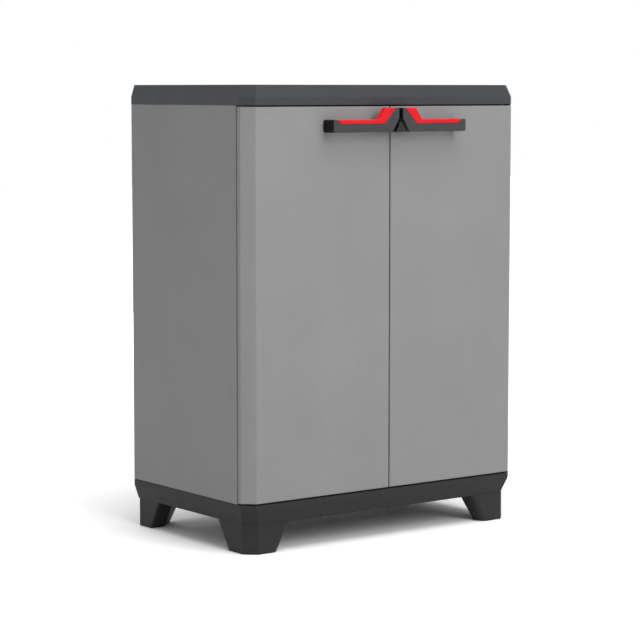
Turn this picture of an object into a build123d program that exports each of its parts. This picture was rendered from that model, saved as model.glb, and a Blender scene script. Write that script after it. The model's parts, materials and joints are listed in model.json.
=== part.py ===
from build123d import *
from math import sqrt
import os

os.makedirs("parts", exist_ok=True)

# Overall size with the doors closed, in millimetres
width = 680.0
body_depth = 405.0
height = 900.0
handle_reach = 35.0
corner_chamfer = 22.0

# Moulded walls, ribs and the clearance of slotted and plugged joints
wall = 3.0
rib = 2.5
fit_gap = 0.25
edge_bevel = 1.2

# Base: rim, slope under it and the skirt between the feet
rim_band = 12.0
skirt_slope = 28.0
skirt_inset = 9.5
skirt_drop = 0.8
floor_columns = 7
floor_rows = 4
sill_pockets = 6

# Feet: sizes of the sole, and how much wider the top is
foot_height = 58.0
foot_front_width = 70.5
foot_front_flare = 31.0
foot_side_length = 69.0
foot_side_flare = 38.0
foot_cut = 38.0
foot_cut_flare = 28.0
back_foot_length = 44.0
back_foot_flare = 30.5
back_foot_setback = 3.0
sole_bevel = 1.5
spigot_half = 7.5
spigot_length = 22.0
spigot_inset = 34.0
back_spigot_inset = 24.0

# Top panel: vertical band, slope above it and the shallow tray on top
top_height = 39.0
top_band = 15.0
top_inset = 7.7
tray_depth = 3.0
tray_margin = 26.0

# Side panels: ribbed inside, with a tongue at each end and rails for the shelf
panel_depth = 18.0
panel_border = 12.0
panel_columns = 3
tongue = 5.0
tongue_depth = 10.0
tongue_inset = 4.0
tongue_setback = 14.0
rail_pitch = 190.0
rail_reach = 10.0
rail_height = 8.0

# Back panels: two corrugated halves that interlock at the middle
back_margin = 3.0
back_skin = 2.5
back_wave = 8.5
wave_pitch = 72.0
wave_slope = 9.0
back_groove = 10.0
back_post = 6.0
joint_tongue = 3.0
joint_reach = 9.0

# Shelf
shelf_height = 28.0
shelf_side_gap = 1.0
shelf_front_gap = 12.0
shelf_back_gap = 2.0
shelf_columns = 5
shelf_rows = 3
shelf_edge_radius = 6.0

# Doors and their hinges
door_depth = 31.5
door_gap = 2.8
seam = 2.6
seam_shift = 5.0
hinge_gap = 3.5
pivot_inset = 8.0
sweep_clearance = 0.5
stile_flat = 8.0
door_rib_depth = 16.0
door_rib_pitch = 120.0
door_rib_columns = 3
stop_gap = 1.0
stop_height = 12.0
stop_setback = 14.0
pin_radius = 4.0
pin_running = 0.1
pin_seat = 0.05
pin_in_door = 24.0
pin_in_frame = 11.0
pin_collar = 6.3
collar_gap = 0.3
hinge_block = 34.0

# Handles: distances along the door are from the seam
handle_drop = 3.1
handle_height = 46.8
handle_end = 164.5
bar_height = 24.5
bar_thickness = 13.0
end_post = 14.0
inner_post = 20.0
end_cut = 2.5
shoulder_foot = 53.0
shoulder_head = 38.0
stem_gap = 4.8
notch_half = 21.4
notch_height = 26.5

# Padlock ears, one on each door, in the notch between the handles
ear_inner = 0.4
ear_thickness = 5.0
ear_height = 15.5
ear_reach = 35.0
ear_foot = 10.0
nose_half = 12.4
nose_height = 22.0
nose_depth = 4.0
eye_radius = 3.5
eye_height = 8.0
eye_reach = 16.0

# Front covers of the handles, and the red accents that cap their upper edges
cover_thickness = 2.5
cover_bevel = 0.6
cover_foot_bevel = 1.9
accent_height = 8.7
accent_thickness = 2.5
accent_bevel = 1.2
accent_start = 155.5
accent_slant = 9.5
accent_bend = 40.0
accent_tip = 12.0

# Handle screws
screw_radius = 2.0
screw_seat = 0.05
screw_hole_gap = 0.3
screw_depth = 16.0
head_radius = 4.2
head_height = 2.6
inner_screw_drop = 11.0
ear_screw_out = 9.5
ear_screw_up = 5.0
ear_screw_depth = 8.0

# Planes and levels that follow from the sizes above
front_plane = (handle_reach - body_depth) / 2
back_plane = (handle_reach + body_depth) / 2
side_plane = width / 2
side_inner = side_plane - panel_depth
rim_bottom = foot_height + skirt_slope
base_top = rim_bottom + rim_band
top_bottom = height - top_height
door_bottom = base_top + door_gap
door_top = top_bottom - door_gap
door_rear = front_plane + door_depth
panel_front = door_rear + hinge_gap
pivot_x = side_plane - pivot_inset
pivot_y = door_rear - pivot_inset
back_outer = back_plane - back_margin
foot_back = back_plane - back_foot_setback
back_inner = back_outer - back_wave
back_ring = back_inner - back_post
stop_front = door_rear + stop_gap
stop_half = side_inner - stop_setback
handle_top = door_top - handle_drop
handle_bottom = handle_top - handle_height
bar_top = handle_bottom + bar_height
door_face = Plane.XZ.offset(-front_plane)
sides = (("left", -1), ("right", 1))


def from_seam(sign, points):
    """Points of a handle's outline, given from the seam outwards, where they are on the cabinet."""
    return [(seam_shift + sign * x, z) for x, z in points]


def plan_points(inset, back_inset=0.0):
    """Corners of the cabinet's plan, set in from its sides and front, and from its back."""
    side = side_plane - inset
    front = front_plane + inset
    rear = back_plane - back_inset
    return [
        (-side, rear),
        (-side, front + corner_chamfer),
        (-side + corner_chamfer, front),
        (side - corner_chamfer, front),
        (side, front + corner_chamfer),
        (side, rear),
    ]


def front_foot_points(sign, flare):
    """Plan of a front foot: flare 0 gives its sole and 1 its top."""
    side = side_plane - skirt_inset
    front = front_plane + skirt_inset
    long = foot_front_width + flare * foot_front_flare
    deep = foot_side_length + flare * foot_side_flare
    cut = foot_cut + flare * foot_cut_flare
    outline = [
        (side, front + corner_chamfer),
        (side - corner_chamfer, front),
        (side - long, front),
        (side - long, front + deep - cut),
        (side - long + cut, front + deep),
        (side, front + deep),
    ]
    return [(sign * x, y) for x, y in outline]


def back_foot_points(sign, flare):
    """Plan of a back foot: flare 0 gives its sole and 1 its top."""
    side = side_plane - skirt_inset
    long = foot_front_width + flare * foot_front_flare
    deep = back_foot_length + flare * back_foot_flare
    cut = foot_cut + flare * foot_cut_flare
    outline = [
        (side, foot_back),
        (side - long, foot_back),
        (side - long, foot_back - deep + cut),
        (side - long + cut, foot_back - deep),
        (side, foot_back - deep),
    ]
    return [(sign * x, y) for x, y in outline]


def spigot_place(sign, end):
    """Where a foot's spigot stands, in from the skirt's two faces."""
    x = sign * (side_plane - skirt_inset - spigot_inset)
    if end == "front":
        return (x, front_plane + skirt_inset + spigot_inset)
    return (x, foot_back - back_spigot_inset)


foot_plans = {"front": front_foot_points, "back": back_foot_points}


def foot_slopes(sign, end):
    """Planes of the sloped faces on the inside of a foot, facing away from it."""
    sole = foot_plans[end](sign, 0)
    head = foot_plans[end](sign, 1)
    middle = Vector(*spigot_place(sign, end), 0)
    planes = []
    for index, point in enumerate(sole):
        corner = Vector(*sole[index - 1], 0)
        along = Vector(*point, 0) - corner
        rising = Vector(*head[index - 1], foot_height) - corner
        facing = along.cross(rising).normalized()
        if facing.dot(middle - corner) > 0:
            facing = -facing
        upright = round(facing.Z, 6) == 0
        if not upright:
            planes.append(Plane(origin=corner, x_dir=along, z_dir=facing))
    return planes


feet = [(end, side, sign) for end in foot_plans for side, sign in sides]

# The side panels' tongues run between these two ends
tongue_front = panel_front + tongue_setback
tongue_rear = back_ring - tongue_setback
tongue_mid_x = side_plane - tongue_inset - tongue / 2
tongue_mid_y = (tongue_front + tongue_rear) / 2
tongue_length = tongue_rear - tongue_front

# The frame's open field inside its ring, and the sill in front of it
field_width = 2 * side_inner
field_depth = back_ring - panel_front
field_mid = (back_ring + panel_front) / 2
floor_pitch_x = field_width / floor_columns
floor_pitch_y = field_depth / floor_rows
sill_half = side_plane - corner_chamfer - wall
sill_depth = panel_front - front_plane - 2 * wall
sill_mid = (panel_front + front_plane) / 2
back_slot_half = side_inner + back_groove

# Base: rim, slope and skirt, ribbed below, with slots for the panels and sockets for the feet
with BuildPart() as base:
    with BuildSketch(Plane.XY.offset(rim_bottom)):
        Polygon(*plan_points(0), align=None)
    extrude(amount=rim_band)
    chamfer(base.faces().sort_by(Axis.Z)[-1].edges(), length=edge_bevel)
    with BuildSketch(Plane.XY.offset(foot_height)):
        Polygon(*plan_points(skirt_inset), align=None)
    with BuildSketch(Plane.XY.offset(rim_bottom)):
        Polygon(*plan_points(0), align=None)
    loft(ruled=True)
    with BuildSketch(Plane.XY.offset(foot_height)):
        Polygon(*plan_points(skirt_inset), align=None)
    extrude(amount=-skirt_drop)
    # Hollow inside the skirt
    with BuildSketch(Plane.XY.offset(foot_height)):
        Polygon(*plan_points(skirt_inset + wall, wall), align=None)
    with BuildSketch(Plane.XY.offset(rim_bottom)):
        Polygon(*plan_points(wall, wall), align=None)
    loft(ruled=True, mode=Mode.SUBTRACT)
    with BuildSketch(Plane.XY.offset(foot_height)):
        Polygon(*plan_points(skirt_inset + wall, wall), align=None)
    extrude(amount=-skirt_drop, mode=Mode.SUBTRACT)
    # Pockets that leave a grid of ribs under the floor and the sill
    with BuildSketch(Plane.XY.offset(rim_bottom)):
        with Locations((0, field_mid)):
            with GridLocations(floor_pitch_x, floor_pitch_y, floor_columns, floor_rows):
                Rectangle(floor_pitch_x - rib, floor_pitch_y - rib)
        with Locations((0, sill_mid)):
            with GridLocations(2 * sill_half / sill_pockets, 1, sill_pockets, 1):
                Rectangle(2 * sill_half / sill_pockets - rib, sill_depth)
    extrude(amount=rim_band - wall, mode=Mode.SUBTRACT)
    # Seats and sockets for the feet
    for end, side, sign in feet:
        with BuildSketch(Plane.XY.offset(foot_height)):
            Polygon(*foot_plans[end](sign, 1), align=None)
        extrude(amount=wall)
        with BuildSketch(Plane.XY.offset(foot_height)):
            Polygon(*foot_plans[end](sign, 1), align=None)
            offset(amount=fit_gap, kind=Kind.INTERSECTION)
        extrude(amount=-skirt_drop, mode=Mode.SUBTRACT)
        with BuildSketch(Plane.XY.offset(foot_height)):
            with Locations(spigot_place(sign, end)):
                Rectangle(2 * (spigot_half + fit_gap + wall), 2 * (spigot_half + fit_gap + wall))
        extrude(amount=base_top - wall - foot_height)
        with BuildSketch(Plane.XY.offset(foot_height)):
            with Locations(spigot_place(sign, end)):
                Rectangle(2 * (spigot_half + fit_gap), 2 * (spigot_half + fit_gap))
        extrude(amount=spigot_length + fit_gap, mode=Mode.SUBTRACT)
    # Slots for the side panels' tongues and the back panels
    with BuildSketch(Plane.XY.offset(base_top)):
        for side, sign in sides:
            with Locations((sign * tongue_mid_x, tongue_mid_y)):
                Rectangle(tongue + 2 * fit_gap, tongue_length + 2 * fit_gap)
        with Locations((0, (back_inner + back_outer) / 2)):
            Rectangle(2 * back_slot_half, back_wave + 2 * fit_gap)
    extrude(amount=-tongue_depth - fit_gap, mode=Mode.SUBTRACT)
    # Stop that the doors close against
    with BuildSketch(Plane.XY.offset(base_top)):
        with Locations((0, stop_front + wall / 2)):
            Rectangle(2 * stop_half, wall)
    extrude(amount=stop_height)
    # Seats of the lower hinge pins
    with Locations(*[(sign * pivot_x, pivot_y, base_top) for side, sign in sides]):
        Cylinder(
            pin_radius + pin_seat,
            pin_in_frame + fit_gap,
            align=(Align.CENTER, Align.CENTER, Align.MAX),
            mode=Mode.SUBTRACT,
        )
base.part.label = "base"
export_step(base.part, "parts/base.step")

# Feet: tapered cups with a post that pushes up into the base
for end, side, sign in feet:
    with BuildPart() as foot:
        with BuildSketch(Plane.XY):
            Polygon(*foot_plans[end](sign, 1), align=None)
        extrude(amount=foot_height)
        for sloped_face in foot_slopes(sign, end):
            split(bisect_by=sloped_face, keep=Keep.BOTTOM)
        open_end = foot.faces().sort_by(Axis.Z)[-1]
        offset(amount=-wall, openings=open_end, kind=Kind.INTERSECTION)
        chamfer(foot.faces().sort_by(Axis.Z)[0].edges(), length=sole_bevel)
        with BuildSketch(Plane.XY.offset(wall)):
            with Locations(spigot_place(sign, end)):
                Rectangle(2 * spigot_half, 2 * spigot_half)
        extrude(amount=foot_height - wall + spigot_length)
    name = f"foot_{end}_{side}"
    foot.part.label = name
    export_step(foot.part, f"parts/{name}.step")

# Top panel: band and slope outside, a shallow tray on top, ribbed below
with BuildPart() as top_panel:
    with BuildSketch(Plane.XY.offset(top_bottom)):
        Polygon(*plan_points(0), align=None)
    extrude(amount=top_band)
    with BuildSketch(Plane.XY.offset(top_bottom + top_band)):
        Polygon(*plan_points(0), align=None)
    with BuildSketch(Plane.XY.offset(height)):
        Polygon(*plan_points(top_inset), align=None)
    loft(ruled=True)
    chamfer(top_panel.faces().sort_by(Axis.Z)[-1].edges(), length=edge_bevel)
    # Tray on top
    with BuildSketch(Plane.XY.offset(height)):
        Polygon(*plan_points(tray_margin, tray_margin), align=None)
    extrude(amount=-tray_depth, mode=Mode.SUBTRACT)
    # Pockets that leave a grid of ribs under the top and the sill
    with BuildSketch(Plane.XY.offset(top_bottom)):
        with Locations((0, field_mid)):
            with GridLocations(floor_pitch_x, floor_pitch_y, floor_columns, floor_rows):
                Rectangle(floor_pitch_x - rib, floor_pitch_y - rib)
    extrude(amount=top_height - tray_depth - wall, mode=Mode.SUBTRACT)
    with BuildSketch(Plane.XY.offset(top_bottom)):
        with Locations((0, sill_mid)):
            with GridLocations(2 * sill_half / sill_pockets, 1, sill_pockets, 1):
                Rectangle(2 * sill_half / sill_pockets - rib, sill_depth)
    extrude(amount=top_band, mode=Mode.SUBTRACT)
    # Slots for the side panels' tongues and the back panels
    with BuildSketch(Plane.XY.offset(top_bottom)):
        for side, sign in sides:
            with Locations((sign * tongue_mid_x, tongue_mid_y)):
                Rectangle(tongue + 2 * fit_gap, tongue_length + 2 * fit_gap)
        with Locations((0, (back_inner + back_outer) / 2)):
            Rectangle(2 * back_slot_half, back_wave + 2 * fit_gap)
    extrude(amount=tongue_depth + fit_gap, mode=Mode.SUBTRACT)
    # Stop that the doors close against
    with BuildSketch(Plane.XY.offset(top_bottom)):
        with Locations((0, stop_front + wall / 2)):
            Rectangle(2 * stop_half, wall)
    extrude(amount=-stop_height)
    # Seats of the upper hinge pins
    with Locations(*[(sign * pivot_x, pivot_y, top_bottom) for side, sign in sides]):
        Cylinder(
            pin_radius + pin_seat,
            pin_in_frame + fit_gap,
            align=(Align.CENTER, Align.CENTER, Align.MIN),
            mode=Mode.SUBTRACT,
        )
top_panel.part.label = "top_panel"
export_step(top_panel.part, "parts/top_panel.step")

# Heights of the ribs that cross a side panel, each with a rail on it
panel_height = top_bottom - base_top
rail_count = int((panel_height - panel_border) // rail_pitch)
rail_tops = [base_top + rail_pitch * (k + 1) for k in range(rail_count)]
shelf_bottom = rail_tops[rail_count // 2]

# Side panels: outer skin, a crate of ribs inside, tongues at both ends and a groove for the back
for side, sign in sides:
    inner_face = Plane.YZ.offset(sign * side_inner)
    outward = sign
    with BuildPart() as side_panel:
        with BuildSketch(inner_face):
            with Locations(((panel_front + back_plane) / 2, (base_top + top_bottom) / 2)):
                Rectangle(back_plane - panel_front, panel_height)
        extrude(amount=outward * panel_depth)
        front_edges = side_panel.edges().filter_by(Axis.Z).group_by(Axis.Y)[0]
        chamfer(front_edges, length=edge_bevel)
        # Pockets between the ribs
        pocket_width = (back_ring - panel_front - panel_border) / panel_columns
        pocket_ends = [base_top + panel_border] + rail_tops + [top_bottom - panel_border + rib]
        with BuildSketch(inner_face):
            for low, high in zip(pocket_ends, pocket_ends[1:]):
                for column in range(panel_columns):
                    middle = panel_front + panel_border + pocket_width * (column + 0.5)
                    with Locations((middle, (low + high - rib) / 2)):
                        Rectangle(pocket_width - rib, high - low - rib)
        extrude(amount=outward * (panel_depth - wall), mode=Mode.SUBTRACT)
        # Groove for the back panel
        with BuildSketch(inner_face):
            with Locations(((back_inner + back_outer) / 2, (base_top + top_bottom) / 2)):
                Rectangle(back_wave + 2 * fit_gap, panel_height)
        extrude(amount=outward * back_groove, mode=Mode.SUBTRACT)
        # Tongues into the base and the top panel
        with BuildSketch(Plane.XY.offset(base_top - tongue_depth)):
            with Locations((sign * tongue_mid_x, tongue_mid_y)):
                Rectangle(tongue, tongue_length)
        extrude(amount=tongue_depth + wall)
        with BuildSketch(Plane.XY.offset(top_bottom - wall)):
            with Locations((sign * tongue_mid_x, tongue_mid_y)):
                Rectangle(tongue, tongue_length)
        extrude(amount=tongue_depth + wall)
        # Rails with a sloped underside
        with BuildSketch(Plane.XZ.offset(-tongue_front)):
            for rail_top in rail_tops:
                Polygon(
                    (sign * side_inner, rail_top),
                    (sign * (side_inner - rail_reach), rail_top),
                    (sign * (side_inner - rail_reach), rail_top - rib),
                    (sign * side_inner, rail_top - rail_height),
                    align=None,
                )
                with Locations((sign * (side_inner + wall / 2), rail_top - rail_height / 2)):
                    Rectangle(wall, rail_height)
        extrude(amount=-tongue_length)
    name = f"side_panel_{side}"
    side_panel.part.label = name
    export_step(side_panel.part, f"parts/{name}.step")

# Back panels: corrugated sheet, with a tongue on the left half and a channel on the right half
back_end = back_slot_half - fit_gap
joint_mid = (back_inner + back_outer) / 2
for side, sign in sides:
    flat_start = joint_reach + back_skin
    wave_count = max(1, int((back_end - flat_start) // wave_pitch))
    pitch = (back_end - flat_start) / wave_count
    rear_line = []
    for wave in range(wave_count):
        start = flat_start + wave * pitch
        rear_line += [
            (start, back_outer),
            (start + pitch / 2 - wave_slope, back_outer),
            (start + pitch / 2, back_inner + back_skin),
            (start + pitch - wave_slope, back_inner + back_skin),
        ]
    rear_line.append((back_end, back_outer))
    front_line = [(x, y - back_skin) for x, y in reversed(rear_line)]
    with BuildPart() as back_panel:
        with BuildSketch(Plane.XY.offset(base_top - tongue_depth)):
            Polygon(*[(sign * x, y) for x, y in rear_line + front_line], align=None)
            # Edge bead that fills the side panel's groove
            with Locations((sign * (back_end - back_skin / 2), joint_mid)):
                Rectangle(back_skin, back_wave)
            # Upright web where the corrugations end at the middle joint
            with Locations((sign * (flat_start + back_skin / 2), joint_mid)):
                Rectangle(back_skin, back_wave)
            if side == "left":
                with Locations((-(flat_start - joint_reach) / 2, joint_mid)):
                    Rectangle(flat_start + joint_reach, joint_tongue)
            else:
                for edge in (-1, 1):
                    lip = (back_wave - joint_tongue) / 2 - fit_gap
                    with Locations(((flat_start + back_skin) / 2, joint_mid + edge * (back_wave - lip) / 2)):
                        Rectangle(flat_start + back_skin, lip)
        extrude(amount=panel_height + 2 * tongue_depth)
    name = f"back_panel_{side}"
    back_panel.part.label = name
    export_step(back_panel.part, f"parts/{name}.step")

# Shelf: plate with a skirt and ribs below, its front edge rounded
shelf_half = side_inner - shelf_side_gap
shelf_front = panel_front + shelf_front_gap
shelf_back = back_inner - shelf_back_gap
shelf_mid = (shelf_front + shelf_back) / 2
shelf_depth = shelf_back - shelf_front
with BuildPart() as shelf:
    with BuildSketch(Plane.XY.offset(shelf_bottom)):
        with Locations((0, shelf_mid)):
            Rectangle(2 * shelf_half, shelf_depth)
    extrude(amount=shelf_height)
    front_edges = shelf.edges().filter_by(Axis.X).group_by(Axis.Y)[0]
    fillet(front_edges.sort_by(Axis.Z)[-1], radius=shelf_edge_radius)
    with BuildSketch(Plane.XY.offset(shelf_bottom)):
        with Locations((0, shelf_mid)):
            with GridLocations(
                (2 * shelf_half - 2 * wall) / shelf_columns,
                (shelf_depth - 2 * wall) / shelf_rows,
                shelf_columns,
                shelf_rows,
            ):
                Rectangle(
                    (2 * shelf_half - 2 * wall) / shelf_columns - rib,
                    (shelf_depth - 2 * wall) / shelf_rows - rib,
                )
    extrude(amount=shelf_height - shelf_edge_radius, mode=Mode.SUBTRACT)
shelf.part.label = "shelf"
export_step(shelf.part, "parts/shelf.step")

# The rear outer edge of a door is rounded about the hinge so that it clears the side panel
sweep_radius = pivot_inset + hinge_gap - sweep_clearance
sweep_flat = sqrt(sweep_radius**2 - pivot_inset**2)
sweep_middle = sweep_radius / sqrt(2)
stile_inner = side_plane - corner_chamfer - stile_flat
wall_turn = wall * (sqrt(2) - 1)
handle_screws = (
    (handle_end - end_post / 2, (handle_bottom + bar_top) / 2),
    ((stem_gap + inner_post) / 2, handle_top - inner_screw_drop),
)
ear_screw = (ear_screw_out, handle_bottom + ear_screw_up)

# Doors: a skin with a flange all round, a hollow stile at the hinge and ribs inside
for side, sign in sides:
    stile_hollow = [
        (stile_inner + wall, front_plane + wall),
        (side_plane - corner_chamfer - wall_turn, front_plane + wall),
        (side_plane - wall, front_plane + corner_chamfer + wall_turn),
        (side_plane - wall, pivot_y),
        (pivot_x, door_rear - wall),
        (stile_inner + wall, door_rear - wall),
    ]
    stile_hollow = [(sign * x, y) for x, y in stile_hollow]
    inner_edge = sign * seam_shift + seam / 2
    hollow_mid = sign * (inner_edge + wall + stile_inner) / 2
    hollow_width = stile_inner - inner_edge - wall
    hollow_depth = door_depth - wall
    with BuildPart() as door:
        with BuildSketch(Plane.XY.offset(door_bottom)):
            with BuildLine():
                Polyline(
                    (sign * (pivot_x + sweep_flat), door_rear),
                    (sign * inner_edge, door_rear),
                    (sign * inner_edge, front_plane),
                    (sign * (side_plane - corner_chamfer), front_plane),
                    (sign * side_plane, front_plane + corner_chamfer),
                    (sign * side_plane, pivot_y + sweep_flat),
                )
                ThreePointArc(
                    (sign * side_plane, pivot_y + sweep_flat),
                    (sign * (pivot_x + sweep_middle), pivot_y + sweep_middle),
                    (sign * (pivot_x + sweep_flat), door_rear),
                )
            make_face()
        extrude(amount=door_top - door_bottom)
        outside = door.edges().filter_by(lambda edge: edge.center().Y < pivot_y)
        chamfer(outside, length=edge_bevel)
        with BuildSketch(Plane.XY.offset(door_bottom)):
            Polygon(*stile_hollow, align=None)
            with Locations((hollow_mid, front_plane + wall + hollow_depth / 2)):
                Rectangle(hollow_width, hollow_depth)
        extrude(amount=door_top - door_bottom, mode=Mode.SUBTRACT)
        # Solid ends of the stile, for the hinge pins, and the flanges at the door's ends
        for level, depth in ((door_bottom, 1), (door_top, -1)):
            with BuildSketch(Plane.XY.offset(level)):
                Polygon(*stile_hollow, align=None)
            extrude(amount=depth * hinge_block)
            with BuildSketch(Plane.XY.offset(level)):
                with Locations((hollow_mid, front_plane + wall + hollow_depth / 2)):
                    Rectangle(hollow_width, hollow_depth)
            extrude(amount=depth * wall)
        # Ribs behind the skin, below the handle
        rib_field = handle_bottom - door_bottom
        rib_rows = int(rib_field // door_rib_pitch)
        for row in range(rib_rows):
            with BuildSketch(Plane.XY.offset(door_bottom + door_rib_pitch * (row + 1))):
                with Locations((hollow_mid, front_plane + wall + door_rib_depth / 2)):
                    Rectangle(hollow_width, door_rib_depth)
            extrude(amount=-rib)
        with BuildSketch(Plane.XY.offset(door_bottom)):
            with Locations((hollow_mid, front_plane + wall + door_rib_depth / 2)):
                with GridLocations(hollow_width / (door_rib_columns + 1), 1, door_rib_columns, 1):
                    Rectangle(rib, door_rib_depth)
        extrude(amount=door_rib_pitch * rib_rows)
        # Bores that turn on the hinge pins
        for level, end in ((door_bottom, Align.MIN), (door_top, Align.MAX)):
            with Locations((sign * pivot_x, pivot_y, level)):
                Cylinder(
                    pin_radius + pin_running,
                    pin_in_door + fit_gap,
                    align=(Align.CENTER, Align.CENTER, end),
                    mode=Mode.SUBTRACT,
                )
        # Holes for the handle screws
        with BuildSketch(door_face):
            with Locations(*from_seam(sign, (*handle_screws, ear_screw))):
                Circle(screw_radius + screw_hole_gap)
        extrude(amount=-wall, mode=Mode.SUBTRACT)
    name = f"door_{side}"
    door.part.label = name
    export_step(door.part, f"parts/{name}.step")

# Hinge pins: one half in the frame and one half in the door, with a six-sided collar between them
collar_height = door_gap - collar_gap
pin_ends = (("upper", top_bottom, -1), ("lower", base_top, 1))
for end, level, toward_door in pin_ends:
    for side, sign in sides:
        with BuildPart() as hinge_pin:
            with BuildSketch(Plane.XY.offset(level - toward_door * pin_in_frame)):
                with Locations((sign * pivot_x, pivot_y)):
                    Circle(pin_radius)
            extrude(amount=toward_door * (pin_in_frame + door_gap + pin_in_door))
            with BuildSketch(Plane.XY.offset(level)):
                with Locations((sign * pivot_x, pivot_y)):
                    RegularPolygon(pin_collar, side_count=6)
            extrude(amount=toward_door * collar_height)
        name = f"{end}_hinge_pin_{side}"
        hinge_pin.part.label = name
        export_step(hinge_pin.part, f"parts/{name}.step")

# Handles with their accents, covers, padlock ears and screws
notch_top = handle_bottom + notch_height
eye_level = handle_bottom + eye_height
ear_middle = (ear_inner + ear_thickness / 2, handle_bottom + ear_height / 2)
ear_foot_outline = [
    (ear_inner, handle_bottom),
    (notch_half - fit_gap * 2, handle_bottom),
    (stem_gap - fit_gap * 2, notch_top),
    (ear_inner, notch_top),
]
nose_outline = [
    (ear_inner, handle_bottom),
    (nose_half, handle_bottom),
    (ear_inner, handle_bottom + nose_height),
]
for side, sign in sides:
    handle_outline = [
        (handle_end, handle_bottom + end_cut),
        (handle_end, bar_top - end_cut),
        (handle_end - end_cut, bar_top),
        (shoulder_foot, bar_top),
        (shoulder_head, handle_top),
        (stem_gap, handle_top),
        (stem_gap, notch_top),
        (notch_half, handle_bottom),
        (handle_end - end_cut, handle_bottom),
    ]
    handle_outline = from_seam(sign, handle_outline)
    accent_outline = [
        (accent_start, bar_top),
        (shoulder_foot, bar_top),
        (shoulder_head, handle_top),
        (accent_tip, handle_top),
        (accent_bend, bar_top - accent_height),
        (accent_start - accent_slant, bar_top - accent_height),
    ]
    accent_outline = from_seam(sign, accent_outline)
    front_face = door_face.offset(handle_reach)

    # Accent: a front band, turned over the upper edge of the handle
    with BuildPart() as accent:
        with BuildSketch(front_face):
            Polygon(*accent_outline, align=None)
        extrude(amount=-cover_thickness)
        with BuildSketch(front_face):
            Polygon(*handle_outline, align=None)
            offset(amount=-accent_thickness, kind=Kind.INTERSECTION, mode=Mode.SUBTRACT)
            Polygon(*accent_outline, align=None, mode=Mode.INTERSECT)
        extrude(amount=-bar_thickness)
        chamfer(accent.faces().sort_by(Axis.Y)[0].edges(), length=accent_bevel)
    name = f"handle_accent_{side}"
    accent.part.label = name
    export_step(accent.part, f"parts/{name}.step")

    # Cover: the rest of the handle's front
    with BuildPart() as cover:
        with BuildSketch(front_face):
            Polygon(*handle_outline, align=None)
            Polygon(*accent_outline, align=None, mode=Mode.SUBTRACT)
        extrude(amount=-cover_thickness)
        front_edges = cover.faces().sort_by(Axis.Y)[0].edges()
        foot_edge = front_edges.sort_by(Axis.Z)[0]
        chamfer(front_edges - [foot_edge], length=cover_bevel)
        foot_edge = cover.faces().sort_by(Axis.Y)[0].edges().sort_by(Axis.Z)[0]
        chamfer(foot_edge, length=cover_foot_bevel)
    name = f"handle_cover_{side}"
    cover.part.label = name
    export_step(cover.part, f"parts/{name}.step")

    # Handle: grip bar on two posts, rising to the middle
    with BuildPart() as handle:
        with BuildSketch(front_face.offset(-cover_thickness)):
            Polygon(*handle_outline, align=None)
        extrude(amount=cover_thickness - bar_thickness)
        with BuildSketch(door_face):
            Polygon(*handle_outline, align=None)
            with Locations(*from_seam(sign, [(handle_end - end_post / 2, handle_bottom)])):
                Rectangle(end_post, 2 * handle_height, mode=Mode.INTERSECT)
        extrude(amount=handle_reach - bar_thickness)
        with BuildSketch(door_face):
            Polygon(*handle_outline, align=None)
            with Locations(*from_seam(sign, [(inner_post / 2, handle_bottom)])):
                Rectangle(inner_post, 2 * handle_height, mode=Mode.INTERSECT)
        extrude(amount=handle_reach - bar_thickness)
        # Room for the accent and the screws
        with BuildSketch(front_face):
            Polygon(*handle_outline, align=None)
            offset(amount=-accent_thickness, kind=Kind.INTERSECTION, mode=Mode.SUBTRACT)
            Polygon(*accent_outline, align=None, mode=Mode.INTERSECT)
        extrude(amount=-bar_thickness, mode=Mode.SUBTRACT)
        with BuildSketch(door_face):
            with Locations(*from_seam(sign, handle_screws)):
                Circle(screw_radius + screw_seat)
        extrude(amount=screw_depth + fit_gap, mode=Mode.SUBTRACT)
    name = f"handle_{side}"
    handle.part.label = name
    export_step(handle.part, f"parts/{name}.step")

    # Padlock ear: a plate with an eye and a pointed nose, on a foot that fills the handle's notch
    with BuildPart() as ear:
        with BuildSketch(door_face):
            Polygon(*from_seam(sign, ear_foot_outline), align=None)
        extrude(amount=ear_foot)
        with BuildSketch(door_face):
            with Locations(*from_seam(sign, [ear_middle])):
                Rectangle(ear_thickness, ear_height)
        extrude(amount=ear_reach)
        with BuildSketch(door_face.offset(ear_reach)):
            Polygon(*from_seam(sign, nose_outline), align=None)
        extrude(amount=-nose_depth)
        # Eye for the shackle, and the screw hole in the foot
        with BuildSketch(Plane.YZ.offset(seam_shift + sign * ear_inner)):
            with Locations((front_plane - eye_reach, eye_level)):
                Circle(eye_radius)
        extrude(amount=sign * ear_thickness, mode=Mode.SUBTRACT)
        with BuildSketch(door_face):
            with Locations(*from_seam(sign, [ear_screw])):
                Circle(screw_radius + screw_seat)
        extrude(amount=ear_screw_depth + fit_gap, mode=Mode.SUBTRACT)
    name = f"padlock_ear_{side}"
    ear.part.label = name
    export_step(ear.part, f"parts/{name}.step")

    # Screws: six-sided heads against the inside of the door's skin
    screw_runs = [(x, z, screw_depth) for x, z in handle_screws]
    screw_runs.append((*ear_screw, ear_screw_depth))
    with BuildPart() as screws:
        for x, z, depth in screw_runs:
            with BuildSketch(door_face.offset(-wall)):
                with Locations(*from_seam(sign, [(x, z)])):
                    Circle(screw_radius)
            extrude(amount=wall + depth)
            with BuildSketch(door_face.offset(-wall)):
                with Locations(*from_seam(sign, [(x, z)])):
                    RegularPolygon(head_radius, side_count=6)
            extrude(amount=-head_height)
    name = f"handle_screws_{side}"
    screws.part.label = name
    export_step(screws.part, f"parts/{name}.step")
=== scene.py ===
# %% [markdown]
# A low resin cabinet with two doors, dressed for a studio picture. The shapes come from the packed
# model, so this lesson is about what Blender adds: a camera that sees the cabinet as the photograph
# does, soft light, moulded-plastic finishes and the small pieces that the plain solids leave out.

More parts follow.
